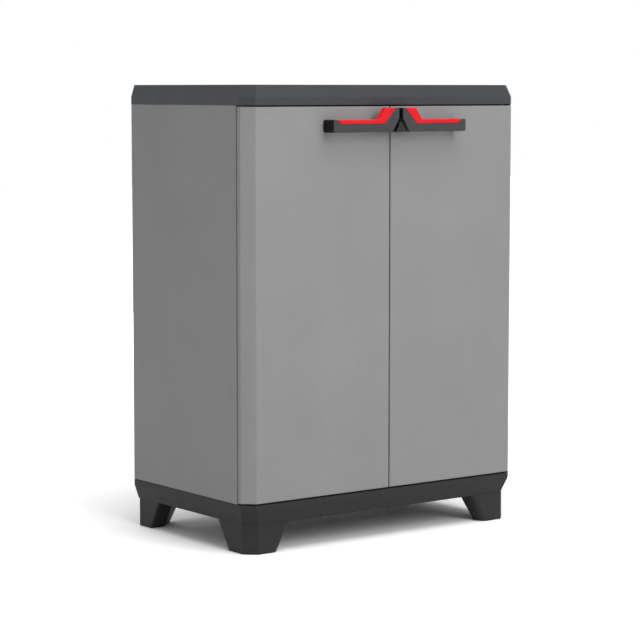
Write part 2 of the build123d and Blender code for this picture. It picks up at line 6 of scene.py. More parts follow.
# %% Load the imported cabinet
import json
import math

import bmesh
import bpy
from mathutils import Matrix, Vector


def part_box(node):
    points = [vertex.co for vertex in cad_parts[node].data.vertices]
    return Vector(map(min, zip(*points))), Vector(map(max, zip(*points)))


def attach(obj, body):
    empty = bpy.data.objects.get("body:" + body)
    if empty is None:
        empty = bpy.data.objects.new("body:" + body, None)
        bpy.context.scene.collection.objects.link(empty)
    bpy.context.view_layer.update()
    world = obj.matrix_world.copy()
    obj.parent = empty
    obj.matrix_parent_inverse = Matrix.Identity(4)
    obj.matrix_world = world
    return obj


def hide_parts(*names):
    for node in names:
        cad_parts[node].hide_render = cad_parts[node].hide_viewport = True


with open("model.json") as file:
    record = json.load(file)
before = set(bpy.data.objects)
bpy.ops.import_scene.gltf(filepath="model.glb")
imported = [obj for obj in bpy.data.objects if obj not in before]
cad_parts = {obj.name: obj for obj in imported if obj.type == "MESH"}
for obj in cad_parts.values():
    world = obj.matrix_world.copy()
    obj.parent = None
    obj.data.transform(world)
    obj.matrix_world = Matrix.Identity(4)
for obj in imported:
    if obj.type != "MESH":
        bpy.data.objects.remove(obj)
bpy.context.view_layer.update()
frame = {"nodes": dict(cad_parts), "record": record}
nodes = frame["nodes"]
scene = bpy.context.scene

# %% [markdown]
# The camera stands low and to the left, far enough away that the upright edges stay nearly parallel.
# It could be placed by eye, but the corners of the top, the doors and the feet give its place, its
# turn and its lens together, so those numbers are written here.

# %% Camera
camera_place = (-2.78236, -3.69162, 0.89106)
camera_turn = math.radians(36.713)
camera_tilt = math.radians(5.801)
lens_mm = 127.70
sensor_mm = 36.0
far_clip = 60.0

camera_data = bpy.data.cameras.new("studio_camera")
camera_data.sensor_width = sensor_mm
camera_data.lens = lens_mm
camera_data.clip_end = far_clip
camera = bpy.data.objects.new("studio_camera", camera_data)
looking = Vector(
    (
        math.sin(camera_turn) * math.cos(camera_tilt),
        math.cos(camera_turn) * math.cos(camera_tilt),
        -math.sin(camera_tilt),
    )
)
camera.location = camera_place
camera.rotation_mode = "QUATERNION"
camera.rotation_quaternion = looking.to_track_quat("-Z", "Y")
scene.collection.objects.link(camera)
bpy.context.scene.camera = camera
print("camera looks along", [round(x, 3) for x in looking])

# %% [markdown]
# Every finish, the world and the floor are node trees. The first of these small helpers adds one node,
# sets its plain values and links its inputs, so that a tree reads as a list of steps. The others do the
# two sums that come back most often.

# %% Node helpers
def add_node(tree, kind, values=None, links=None, **settings):
    """One node of a tree, with its settings, its socket values and the sockets that feed it."""
    node = tree.nodes.new(kind)
    for name, value in settings.items():
        setattr(node, name, value)
    for name, value in (values or {}).items():
        node.inputs[name].default_value = value
    for name, source in (links or {}).items():
        tree.links.new(source, node.inputs[name])
    return node


def combined(tree, operation, first, second):
    """Two values put together by a Math node."""
    return add_node(tree, "ShaderNodeMath", operation=operation, links={0: first, 1: second}).outputs[0]


def ranged(tree, value, low, high, to_low, to_high):
    """A value carried from one range to another, and kept inside it."""
    return add_node(
        tree,
        "ShaderNodeMapRange",
        values={"From Min": low, "From Max": high, "To Min": to_low, "To Max": to_high},
        links={"Value": value},
    ).outputs[0]


print("node helpers ready")

# %% [markdown]
# The photograph has a pure white background with a soft shadow under the cabinet. More light would
# bleach the cabinet, so the white comes from what is seen and not from what lights: the world is white
# for camera, glossy and transmission rays, and lights the cabinet at a lower level.

# %% World
ambient_strength = 0.35
white_strength = 1.0


def seen_rays(tree):
    """One for rays that show a surface: straight from the camera, or by way of a gloss or a glass."""
    rays = add_node(tree, "ShaderNodeLightPath").outputs
    shown = combined(tree, "MAXIMUM", rays["Is Camera Ray"], rays["Is Glossy Ray"])
    return combined(tree, "MAXIMUM", shown, rays["Is Transmission Ray"])


scene.view_settings.view_transform = "Standard"
world = bpy.data.worlds.new("studio_world")
scene.world = world
world.use_nodes = True
tree = world.node_tree
tree.nodes.clear()
backdrop = add_node(
    tree,
    "ShaderNodeBackground",
    values={"Color": (1.0, 1.0, 1.0, 1.0)},
    links={"Strength": ranged(tree, seen_rays(tree), 0.0, 1.0, ambient_strength, white_strength)},
)
add_node(tree, "ShaderNodeOutputWorld", links={"Surface": backdrop.outputs[0]})
print("world lights at", ambient_strength, "and shows at", white_strength)

# %% [markdown]
# A studio floor is a sheet of white paper. Lit by these lamps alone, a plain white plane would turn grey
# towards the back, so this paint looks brighter to the same rays than it is for bounced light: it shows
# white where the lamps fall and keeps the shadow. Further out it glows for those rays too, more with the
# distance, so the horizon disappears.

# %% Floor
floor_half = 14.0
glow_starts = 0.3
glow_full = 3.0
floor_seen = 1.45
floor_bounce = 0.76

floor_mesh = bpy.data.meshes.new("studio_floor")
square_corners = ((-1, -1), (1, -1), (1, 1), (-1, 1))
floor_points = [(x * floor_half, y * floor_half, 0.0) for x, y in square_corners]
floor_mesh.from_pydata(floor_points, [], [(0, 1, 2, 3)])
floor = bpy.data.objects.new("studio_floor", floor_mesh)
scene.collection.objects.link(floor)
floor_paint = bpy.data.materials.new("studio_floor_paint")
floor_paint.use_nodes = True
tree = floor_paint.node_tree
tree.nodes.clear()
seen = seen_rays(tree)
place = add_node(tree, "ShaderNodeTexCoord").outputs["Object"]
distance = add_node(tree, "ShaderNodeVectorMath", operation="LENGTH", links={0: place}).outputs["Value"]
glow = combined(tree, "MULTIPLY", seen, ranged(tree, distance, glow_starts, glow_full, 0.0, 1.0))
level = ranged(tree, seen, 0.0, 1.0, floor_bounce, floor_seen)
paint = add_node(tree, "ShaderNodeBsdfDiffuse", links={"Color": level})
shine = add_node(tree, "ShaderNodeEmission", links={"Strength": glow})
both = add_node(tree, "ShaderNodeAddShader", links={0: paint.outputs[0], 1: shine.outputs[0]})
add_node(tree, "ShaderNodeOutputMaterial", links={"Surface": both.outputs[0]})
floor_mesh.materials.append(floor_paint)
print("floor half size", floor_half, "m, glow from", glow_starts, "to", glow_full, "m")

# %% [markdown]
# Four large area lamps stand in for softboxes. The key is far in front, so the doors are brighter than
# the left side; a weak fill keeps that side open; the overhead one, a little to the front, lights the
# top's slope and the floor; the last one shows the back. Large lamps give the soft, even light of a
# product picture.

# %% Lamps
# Each lamp's place, the point it is aimed at, its side in metres and its power in watts.
lamp_table = {
    "key_softbox": ((0.3, -4.3, 2.6), (0.0, 0.0, 0.45), 2.6, 82.0),
    "fill_softbox": ((-3.9, -1.0, 0.9), (0.0, 0.0, 0.45), 2.2, 8.2),
    "overhead_softbox": ((0.0, -0.9, 3.4), (0.0, 0.0, 0.2), 2.6, 58.0),
    "back_softbox": ((1.2, 4.0, 1.3), (0.0, 0.0, 0.45), 2.6, 38.0),
}
for name, (place, target, size, watts) in lamp_table.items():
    lamp_data = bpy.data.lights.new(name, "AREA")
    lamp_data.size = size
    lamp_data.energy = watts
    lamp = bpy.data.objects.new(name, lamp_data)
    lamp.location = place
    aim = Vector(target) - Vector(place)
    lamp.rotation_mode = "QUATERNION"
    lamp.rotation_quaternion = aim.to_track_quat("-Z", "Y")
    scene.collection.objects.link(lamp)
print("lamps:", len(lamp_table))

# %% [markdown]
# A finish that is the same all over looks like a drawing, so each one below is varied by noise. The steps
# that come back in every finish are written once: a noise, its usual range carried to another, a colour
# laid over a shade, and a finder for edges. The Bevel node bends the normal near an edge, so where that
# normal leaves the true one, there is an edge. Painting the edges by hand would need an unwrapped mesh.

# %% Pattern helpers
noise_low = 0.3
noise_high = 0.7
edge_begins = 0.995
edge_full = 0.90


def noise(tree, place, scale, detail=3.0, roughness=0.55):
    """A noise pattern of that scale on the given coordinates."""
    return add_node(
        tree,
        "ShaderNodeTexNoise",
        values={"Scale": scale, "Detail": detail, "Roughness": roughness},
        links={"Vector": place},
    ).outputs["Fac"]


def spread(tree, pattern, low, high):
    """A noise pattern whose usual range is carried to another one."""
    return ranged(tree, pattern, noise_low, noise_high, low, high)


def mixed(tree, factor, first, second):
    """The first colour, with the plain second colour laid over it by a factor."""
    mix = add_node(tree, "ShaderNodeMix", data_type="RGBA", links={"Factor": factor})
    inputs = [socket for socket in mix.inputs if socket.type == "RGBA"]
    tree.links.new(first, inputs[0])
    inputs[1].default_value = (*second, 1.0)
    return [socket for socket in mix.outputs if socket.type == "RGBA"][0]


def scaled(tree, colour, factor):
    """A plain colour made lighter or darker by a factor."""
    return add_node(
        tree, "ShaderNodeVectorMath", operation="SCALE", values={0: colour}, links={"Scale": factor}
    ).outputs[0]


def edge_finder(tree, radius):
    """The rounded normal of a small bevel, and how strongly a point lies on an edge."""
    rounded = add_node(tree, "ShaderNodeBevel", values={"Radius": radius}, samples=4).outputs["Normal"]
    facing = add_node(tree, "ShaderNodeNewGeometry").outputs["Normal"]
    turn = add_node(
        tree, "ShaderNodeVectorMath", operation="DOT_PRODUCT", links={0: rounded, 1: facing}
    ).outputs["Value"]
    return rounded, ranged(tree, turn, edge_begins, edge_full, 0.0, 1.0)


def new_finish(name):
    """An empty material and its tree."""
    finish = bpy.data.materials.new(name)
    finish.use_nodes = True
    finish.node_tree.nodes.clear()
    return finish, finish.node_tree


print("pattern helpers ready")

# %% [markdown]
# Nearly everything here is injection-moulded resin. A moulded face isn't flat in tone: the pigment leaves
# slow clouds and fine specks, and the melt leaves faint upright streaks as it fills the mould. Near the
# floor a little dust settles. The patterns are noise on Object coordinates, which stay with the piece when
# a door turns.

# %% Resin colour
cloud_scale = 5.0
speck_scale = 380.0
scuff_scale = 55.0
pore_scale = 1300.0
streak_stretch = (16.0, 16.0, 1.1)
speck_share = 0.6
streak_share = 0.4
dust_colour = (0.20, 0.19, 0.175)
dust_reach = 0.05
dust_least = 0.2


def resin_patterns(tree):
    """The coordinates of a moulded face and the noises on them, by name."""
    place = add_node(tree, "ShaderNodeTexCoord").outputs["Object"]
    stretched = add_node(
        tree, "ShaderNodeMapping", values={"Scale": streak_stretch}, links={"Vector": place}
    ).outputs["Vector"]
    return {
        "place": place,
        "clouds": noise(tree, place, cloud_scale, detail=4.0),
        "specks": noise(tree, place, speck_scale, detail=2.0, roughness=0.6),
        "streaks": noise(tree, stretched, 1.0, detail=5.0, roughness=0.6),
        "scuffs": noise(tree, place, scuff_scale, detail=5.0, roughness=0.65),
        "pores": noise(tree, place, pore_scale, detail=2.0, roughness=0.5),
    }


def resin_tone(tree, patterns, colour, cloud):
    """The resin's colour, made lighter and darker by its clouds, specks and streaks."""
    slow = spread(tree, patterns["clouds"], -cloud, cloud)
    fine = spread(tree, patterns["specks"], -speck_share * cloud, speck_share * cloud)
    flow = spread(tree, patterns["streaks"], -streak_share * cloud, streak_share * cloud)
    swing = combined(tree, "ADD", combined(tree, "ADD", slow, fine), flow)
    return scaled(tree, colour, ranged(tree, swing, -1.0, 1.0, 0.0, 2.0))


def dusted(tree, patterns, shade, dust):
    """A shade with dust on it, in patches and only near the floor."""
    upright = add_node(tree, "ShaderNodeSeparateXYZ", links={"Vector": patterns["place"]}).outputs["Z"]
    low = ranged(tree, upright, 0.0, dust_reach, dust, 0.0)
    settled = combined(tree, "MULTIPLY", low, spread(tree, patterns["scuffs"], dust_least, 1.0))
    return mixed(tree, settled, shade, dust_colour)


print("resin colour ready")

# %% [markdown]
# The mould's matt grain breaks up the shine, and the edges go paler: partly wear where hands and boxes
# rub, partly a painted highlight along the edges. One recipe serves every colour of resin, so a new colour
# is one line. The grain and the streaks are too fine for a mesh to carry, so they are left to bump.

# %% Moulded resin recipe
scuff_low = 0.35
scuff_high = 0.65
scuff_gloss = 0.05
streak_gloss = 0.03
grain_depth = 0.0004
streak_depth = 0.002
streak_strength = 0.05


def grained(tree, patterns, normal, grain):
    """A normal with the mould's grain and the melt's streaks in it."""
    fine = add_node(
        tree,
        "ShaderNodeBump",
        values={"Strength": grain, "Distance": grain_depth},
        links={"Height": patterns["pores"], "Normal": normal},
    ).outputs["Normal"]
    return add_node(
        tree,
        "ShaderNodeBump",
        values={"Strength": streak_strength, "Distance": streak_depth},
        links={"Height": patterns["streaks"], "Normal": fine},
    ).outputs["Normal"]


def moulded_resin(
    name, colour, worn_and_highlit_edge, roughness, shine, cloud=0.05, edge_wear_and_highlight=0.5, grain=0.2, dust=0.0, edge_radius=0.0012
):
    """A resin with clouds in its colour, a matt grain, paler edges of wear and painted highlight and, if
    wanted, dust.
    """
    finish, tree = new_finish(name)
    patterns = resin_patterns(tree)
    body = resin_tone(tree, patterns, colour, cloud)
    rounded, edge = edge_finder(tree, edge_radius)
    patches = ranged(tree, patterns["scuffs"], scuff_low, scuff_high, 0.0, edge_wear_and_highlight)
    # The edges go paler in patches: partly wear, partly a painted highlight.
    shade = mixed(tree, combined(tree, "MULTIPLY", edge, patches), body, worn_and_highlit_edge)
    if dust > 0.0:
        shade = dusted(tree, patterns, shade, dust)
    gloss = combined(
        tree,
        "ADD",
        spread(tree, patterns["scuffs"], roughness - scuff_gloss, roughness + scuff_gloss),
        spread(tree, patterns["streaks"], -streak_gloss, streak_gloss),
    )
    shader = add_node(
        tree,
        "ShaderNodeBsdfPrincipled",
        values={"Specular IOR Level": shine},
        links={
            "Base Color": shade,
            "Roughness": gloss,
            "Normal": grained(tree, patterns, rounded, grain),
        },
    )
    add_node(tree, "ShaderNodeOutputMaterial", links={"Surface": shader.outputs[0]})
    return finish


print("resin recipe ready")

# %% [markdown]
# The screws are steel with a thin zinc plating. Plating isn't an even mirror: it has a fine crystalline
# pattern and a faint blue-grey cast, so the cells of a cell texture change the tone, and a noise changes
# the roughness.

# %% Zinc recipe
zinc_colour = (0.58, 0.60, 0.63)
zinc_edge_colour = (0.75, 0.76, 0.78)
zinc_edge_radius = 0.0003
crystal_scale = 900.0
crystal_tones = (0.85, 1.1)
stain_scale = 240.0
zinc_roughness = (0.26, 0.42)


def zinc_plating(name):
    """Bright zinc on steel, with its small crystals in the tone and stains in the roughness."""
    finish, tree = new_finish(name)
    place = add_node(tree, "ShaderNodeTexCoord").outputs["Object"]
    crystals = add_node(
        tree, "ShaderNodeTexVoronoi", values={"Scale": crystal_scale}, links={"Vector": place}
    ).outputs["Color"]
    tone = add_node(tree, "ShaderNodeSeparateColor", links={"Color": crystals}).outputs["Red"]
    body = scaled(tree, zinc_colour, ranged(tree, tone, 0.0, 1.0, *crystal_tones))
    rounded, edge = edge_finder(tree, zinc_edge_radius)
    shader = add_node(
        tree,
        "ShaderNodeBsdfPrincipled",
        values={"Metallic": 1.0},
        links={
            "Base Color": mixed(tree, edge, body, zinc_edge_colour),
            "Roughness": spread(tree, noise(tree, place, stain_scale), *zinc_roughness),
            "Normal": rounded,
        },
    )
    add_node(tree, "ShaderNodeOutputMaterial", links={"Surface": shader.outputs[0]})
    return finish


print("zinc recipe ready")

# %% [markdown]
# Five resins and one metal cover the cabinet. The base and feet take a darker, greener copy of the top's
# resin, darker as painted shade for the weaker light low down, and the handles have a black core under a
# grey front, as the photograph shows at their ends.

# %% Finishes
# Each resin's colour, the colour of its paler edges (wear and painted highlight), its roughness and its
# shine.
resin_table = {
    "panel_grey": ((0.298, 0.298, 0.298), (0.40, 0.40, 0.40), 0.55, 0.18),
    "top_grey": ((0.042, 0.044, 0.0475), (0.10, 0.10, 0.105), 0.48, 0.25),
    # The base's darker tone is painted shade for the weaker light near the floor.
    "base_grey": ((0.030, 0.0315, 0.0305), (0.055, 0.056, 0.055), 0.50, 0.13),
    "handle_black": ((0.0105, 0.0105, 0.0115), (0.03, 0.03, 0.03), 0.55, 0.10),
    "handle_red": ((0.80, 0.012, 0.020), (0.85, 0.10, 0.06), 0.42, 0.15),
}
resin_changes = {
    "panel_grey": {"cloud": 0.035},
    "base_grey": {"edge_wear_and_highlight": 0.25, "dust": 0.05, "edge_radius": 0.0004},
    "handle_red": {"cloud": 0.03},
}
finishes = {
    name: moulded_resin(name, *values, **resin_changes.get(name, {}))
    for name, values in resin_table.items()
}
finishes["screw_zinc"] = zinc_plating("screw_zinc")
print("finishes:", sorted(finishes))

# %% [markdown]
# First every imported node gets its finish. Most nodes are replaced with a better shape in a later step, and
# the replacement looks its finish up in the same table, so that a piece and its node never differ.

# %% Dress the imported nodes
sides = ("left", "right")
finish_of = {"base": "base_grey", "top_panel": "top_grey", "shelf": "panel_grey"}
for side in sides:
    for end in ("front", "back"):
        finish_of[f"foot_{end}_{side}"] = "base_grey"
    for end in ("upper", "lower"):
        finish_of[f"{end}_hinge_pin_{side}"] = "base_grey"
    for piece in ("door", "side_panel", "back_panel"):
        finish_of[f"{piece}_{side}"] = "panel_grey"
    finish_of[f"handle_{side}"] = "handle_black"
    finish_of[f"handle_cover_{side}"] = "top_grey"
    finish_of[f"padlock_ear_{side}"] = "base_grey"
    finish_of[f"handle_accent_{side}"] = "handle_red"
    finish_of[f"handle_screws_{side}"] = "screw_zinc"
for name, finish in finish_of.items():
    mesh = nodes[name].data
    mesh.materials.clear()
    mesh.materials.append(finishes[finish])
body_of = {
    node: body for body, members in frame["record"]["behaviour"]["bodies"].items() for node in members
}
print("dressed nodes:", len(finish_of))

# %% [markdown]
# A piece that this lesson shapes starts as a mesh with modifiers or nodes on it. Before it joins the
# cabinet it is made plain, and then it stands in for a imported node: it takes the node's place on the
# node's body. The imported shapes themselves are never changed, so there is always the model to go back
# to.

# %% Piece helpers
def make_plain(piece):
    """Turns a piece and its modifiers into a plain mesh."""
    evaluated = piece.evaluated_get(bpy.context.evaluated_depsgraph_get())
    mesh = bpy.data.meshes.new_from_object(evaluated)
    mesh.name = piece.name
    piece.modifiers.clear()
    piece.data = mesh


def stand_for(piece, node):
    """The piece takes its node's place on the node's body, and the node is hidden."""
    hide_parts(node)
    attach(piece, body_of[node])


print("piece helpers ready")

# %% [markdown]
# A mould can't make a knife edge: every outer edge of the real pieces is rounded, from half a millimetre
# on the handles to more than a centimetre on the inner edges of the feet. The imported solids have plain
# edges there, so most pieces become a copy whose outer edges a Bevel modifier rounds. The copy is merged
# first and its flat triangles are joined, because the modifier needs true edges to work on. A weight on
# each edge says how much of the radius it takes, and a Weighted Normal modifier keeps the large faces
# flat in the light.

# %% Rounding helpers
merge_distance = 1e-6
flat_angle = math.radians(0.4)
least_turn = 12.0
sharp_turn = 25.0
share_layer = "bevel_weight_edge"


def finish_rounding(work, node, radius, segments):
    """The piece made from a bmesh, with its weighted edges rounded, as a plain mesh."""
    mesh = bpy.data.meshes.new(f"rounded_{node}")
    work.to_mesh(mesh)
    work.free()
    piece = bpy.data.objects.new(f"rounded_{node}", mesh)
    scene.collection.objects.link(piece)
    mesh.materials.append(finishes[finish_of[node]])
    rounding = piece.modifiers.new("rounding", "BEVEL")
    rounding.limit_method = "WEIGHT"
    rounding.width = radius
    rounding.segments = segments
    piece.modifiers.new("flat_faces", "WEIGHTED_NORMAL").keep_sharp = True
    make_plain(piece)
    return piece


def rounded_copy(node, radius, weight_of, segments):
    """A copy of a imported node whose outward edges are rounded, each by its weight's share of the radius."""
    work = bmesh.new()
    work.from_mesh(nodes[node].data)
    bmesh.ops.remove_doubles(work, verts=work.verts, dist=merge_distance)
    bmesh.ops.dissolve_limit(work, angle_limit=flat_angle, verts=work.verts, edges=work.edges)
    shares = work.edges.layers.float.new(share_layer)
    for face in work.faces:
        face.smooth = True
    count = 0
    for edge in work.edges:
        if len(edge.link_faces) != 2:
            continue
        turn = math.degrees(edge.calc_face_angle_signed())
        share = 0.0
        if turn > least_turn:
            middle = (edge.verts[0].co + edge.verts[1].co) / 2
            along = (edge.verts[1].co - edge.verts[0].co).normalized()
            share = weight_of(middle, along)
        edge[shares] = share
        edge.smooth = share > 0.0 or abs(turn) < sharp_turn
        count += share > 0.0
    piece = finish_rounding(work, node, radius, segments)
    print(node, "rounded edges:", count, "faces:", len(piece.data.polygons))
    return piece


print("rounding helpers ready")

# %% [markdown]
# The feet are the roundest pieces: the edges beside their inner slopes have a radius of more than a
# centimetre, which gives the soft gradient that the photograph shows there. A bevel that wide doesn't fit
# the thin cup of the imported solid, so a foot is drawn again as a loft: one rounded outline for its sole,
# a wider one for its top, and straight sides between them. Outlines count inwards from the two outer
# faces.

# %% Foot outlines
corner_cut = 0.022
arc_steps = 6
# The radii follow the corners of the outlines below.
corner_radii = {
    "front": (0.003, 0.003, 0.014, 0.010, 0.006, 0.004),
    "back": (0.003, 0.003, 0.005, 0.006, 0.004),
}
# Each sole's length, depth and inner cut.
sole_sizes = {"front": (0.0705, 0.0690, 0.038), "back": (0.0705, 0.0440, 0.038)}


def rounded_outline(corners, radii):
    """Points along a closed outline whose corners are turned into arcs."""
    points = []
    for index, radius in enumerate(radii):
        corner = Vector(corners[index])
        back = Vector(corners[index - 1]) - corner
        ahead = Vector(corners[(index + 1) % len(corners)]) - corner
        half = back.angle(ahead) / 2
        back.normalize()
        ahead.normalize()
        first = corner + back * radius / math.tan(half)
        last = corner + ahead * radius / math.tan(half)
        centre = corner + (back + ahead).normalized() * radius / math.sin(half)
        for step in range(arc_steps + 1):
            direction = (first - centre).slerp(last - centre, step / arc_steps).normalized()
            points.append(centre + direction * radius)
    return points


def foot_outline(end, long, deep, cut):
    """A foot's outline. Its outer corner is cut off on a front foot and square on a back foot."""
    outer = [(0.0, corner_cut), (corner_cut, 0.0)] if end == "front" else [(0.0, 0.0)]
    inner = [(long, 0.0), (long, deep - cut), (long - cut, deep), (0.0, deep)]
    return rounded_outline(outer + inner, corner_radii[end])


print("points in a foot outline:", {end: len(foot_outline(end, *sole_sizes[end])) for end in sole_sizes})

# %% [markdown]
# The loft is plain mesh code: two rings of points, one quad between each pair, and a face over each end.
# A Bevel modifier rounds the edge of the sole, and a square post on top stands for the one that pushes up
# into the base.

# %% Foot loft
foot_height = 0.058
head_cut = 0.066
post_half = 0.0075
post_overlap = 0.001
post_inset = {"front": (0.034, 0.034), "back": (0.034, 0.024)}
sole_radius = 0.0018
sole_tolerance = 1e-6
crease_angle = math.radians(30)


def add_block(work, rings):
    """Quads between two rings of points and a face over each of them."""
    low, high = [[work.verts.new(point) for point in ring] for ring in rings]
    for k in range(len(low)):
        work.faces.new((low[k - 1], low[k], high[k], high[k - 1]))
    work.faces.new(low)
    work.faces.new(high)


def foot_loft(end, side):
    """A foot as a loft from its sole to its top, with its post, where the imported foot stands."""
    node = f"foot_{end}_{side}"
    low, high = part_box(node)
    outer_x, into_x = (low[0], 1.0) if side == "left" else (high[0], -1.0)
    outer_y, into_y = (low[1], 1.0) if end == "front" else (high[1], -1.0)
    head_sizes = (high[0] - low[0], high[1] - low[1], head_cut)
    cup = []
    for level, sizes in ((0.0, sole_sizes[end]), (foot_height, head_sizes)):
        outline = foot_outline(end, *sizes)
        cup.append([(outer_x + into_x * p.x, outer_y + into_y * p.y, level) for p in outline])
    inset_x, inset_y = post_inset[end]
    post_x = outer_x + into_x * inset_x
    post_y = outer_y + into_y * inset_y
    post = []
    for level in (foot_height - post_overlap, high[2]):
        post.append([(post_x + i * post_half, post_y + j * post_half, level) for i, j in square_corners])
    work = bmesh.new()
    add_block(work, cup)
    add_block(work, post)
    bmesh.ops.recalc_face_normals(work, faces=work.faces)
    shares = work.edges.layers.float.new(share_layer)
    for edge in work.edges:
        on_sole = all(vert.co.z < sole_tolerance for vert in edge.verts)
        edge[shares] = 1.0 if on_sole else 0.0
        edge.smooth = on_sole or edge.calc_face_angle() < crease_angle
    for face in work.faces:
        face.smooth = True
    return finish_rounding(work, node, sole_radius, segments=3)


for end in sole_sizes:
    for side in sides:
        node = f"foot_{end}_{side}"
        piece = foot_loft(end, side)
        stand_for(piece, node)
        print(node, "faces:", len(piece.data.polygons))

# %% [markdown]
# The base, the top, the doors and the side panels are large plates, so a small radius is enough to catch
# the light along their outlines. Only edges on the outside count, and a rule for each kind of plate picks
# them. Those of the ribs and pockets inside stay as they are.

# %% Outline rules
skin_depth = 0.0016
bottom_tolerance = 0.0002
bottom_share = 0.5


def on_hull(node):
    """A rule that picks the edges lying on the faces of a node's box."""
    low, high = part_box(node)

    def share(middle, along):
        near = [min(middle[k] - low[k], high[k] - middle[k]) < skin_depth for k in range(3)]
        return 1.0 if any(near) else 0.0

    return share


def on_outline(node, slope_low, slope_high, inset):
    """A rule that picks the outer edges of the base or the top, whose plan narrows towards one end."""
    low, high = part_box(node)

    def share(middle, along):
        part = (middle[2] - slope_low) / (slope_high - slope_low)
        drawn = inset * min(max(part, 0.0), 1.0) + skin_depth
        corner = (abs(middle[0]) - high[0] + corner_cut) + (low[1] + corner_cut - middle[1])
        outside = high[0] - abs(middle[0]) < drawn or middle[1] - low[1] < drawn
        outside = outside or corner_cut - corner < 2 * drawn
        if middle[2] < low[2] + bottom_tolerance and node == "base":
            return bottom_share if outside else 0.0
        return 1.0 if outside else 0.0

    return share


print("outline rules ready, skin", skin_depth, "m deep")

# %% [markdown]
# Now the plates themselves. The slopes of the base and the top run between two levels, and at the second
# one the plan is narrower by the inset. The doors and side panels have the smallest radius, because the
# gaps between them should stay crisp lines.

# %% Plates
base_slope = {"slope_low": 0.086, "slope_high": 0.058, "inset": 0.0095}
top_slope = {"slope_low": 0.876, "slope_high": 0.900, "inset": 0.0077}
base_radius = 0.0012
top_radius = 0.0015
panel_radius = 0.0006

plate_rules = {
    "base": (on_outline("base", **base_slope), base_radius),
    "top_panel": (on_outline("top_panel", **top_slope), top_radius),
}
for side in sides:
    for kind in ("door", "side_panel"):
        plate_rules[f"{kind}_{side}"] = (on_hull(f"{kind}_{side}"), panel_radius)
for node, (rule, radius) in plate_rules.items():
    piece = rounded_copy(node, radius, rule, segments=2)
    stand_for(piece, node)

# %% [markdown]
# The back panels are thin corrugated sheet. A sharp fold would crack when the sheet is handled, so the
# real folds are drawn with a generous radius: every upright edge gets one.

# %% Back panels
fold_radius = 0.0011
upright_least = 0.99


def upright_fold(middle, along):
    """A rule that picks the upright edges of a sheet."""
    return 1.0 if abs(along[2]) > upright_least else 0.0


for side in sides:
    node = f"back_panel_{side}"
    piece = rounded_copy(node, fold_radius, upright_fold, segments=3)
    stand_for(piece, node)

# %% [markdown]
# The handles are what hands touch, so all their edges are rounded. The grey of the front cover turns
# into the notch over the padlock ears, and the feet of the ears lie deep in shadow behind their noses,
# so some faces of these two copies take a second finish: on the ears it is black, as painted shade.

# %% Handles and ears
handle_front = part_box("handle_cover_left")[0][1]
seam_x = (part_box("door_left")[1][0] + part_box("door_right")[0][0]) / 2
notch_reach = 0.024
notch_margin = 0.0005
notch_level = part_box("padlock_ear_left")[1][2] + notch_margin
notch_facing = 0.3
nose_depth = 0.010
toward_seam = {"left": 1.0, "right": -1.0}
small_radii = {"handle": 0.0009, "handle_cover": 0.0004, "handle_accent": 0.0007, "padlock_ear": 0.0006}


def in_notch(face, side):
    """Whether a face of a handle looks into the notch at the seam."""
    near = abs(face.center.x - seam_x) < notch_reach and face.center.z < notch_level
    return near and face.normal.x * toward_seam[side] > notch_facing


def painted_shade_behind_nose(face, side):
    """Whether a face of an ear lies behind its nose, where black resin is painted shade."""
    return face.center.y > handle_front + nose_depth


# Behind the ears' noses the black resin is painted shade.
second_finish = {"handle": ("top_grey", in_notch), "padlock_ear": ("handle_black", painted_shade_behind_nose)}
for side in sides:
    for kind, radius in small_radii.items():
        node = f"{kind}_{side}"
        piece = rounded_copy(node, radius, lambda middle, along: 1.0, segments=2)
        if kind in second_finish:
            finish, takes = second_finish[kind]
            piece.data.materials.append(finishes[finish])
            for face in piece.data.polygons:
                face.material_index = 1 if takes(face, side) else 0
        stand_for(piece, node)

# %% [markdown]
# What repeats is left to Geometry Nodes: a tree takes a cloud of points, sets one small model on each and
# joins them. The tree's inputs are the model's sizes, so a screw or a rib can be changed in one place.
# The result is made a plain mesh for each body before it joins the cabinet.

# %% Geometry Nodes helpers
def start_tree(name, sizes):
    """A Geometry Nodes tree with its points, one named input for each size, and its finish."""
    tree = bpy.data.node_groups.new(name, "GeometryNodeTree")
    tree.interface.new_socket("Points", in_out="INPUT", socket_type="NodeSocketGeometry")
    for label in sizes:
        tree.interface.new_socket(label, in_out="INPUT", socket_type="NodeSocketFloat")
    tree.interface.new_socket("Finish", in_out="INPUT", socket_type="NodeSocketMaterial")
    tree.interface.new_socket("Geometry", in_out="OUTPUT", socket_type="NodeSocketGeometry")
    entry = add_node(tree, "NodeGroupInput")
    return tree, entry.outputs


def end_tree(tree, entry, model, turn=(0.0, 0.0, 0.0)):
    """Sets the model on every point, turned the same way, makes it real and gives it its finish."""
    stood = add_node(
        tree,
        "GeometryNodeInstanceOnPoints",
        values={"Rotation": turn},
        links={"Points": entry["Points"], "Instance": model},
    )
    real = add_node(tree, "GeometryNodeRealizeInstances", links={"Geometry": stood.outputs[0]})
    painted = add_node(
        tree, "GeometryNodeSetMaterial", links={"Geometry": real.outputs[0], "Material": entry["Finish"]}
    )
    add_node(tree, "NodeGroupOutput", links={"Geometry": painted.outputs[0]})


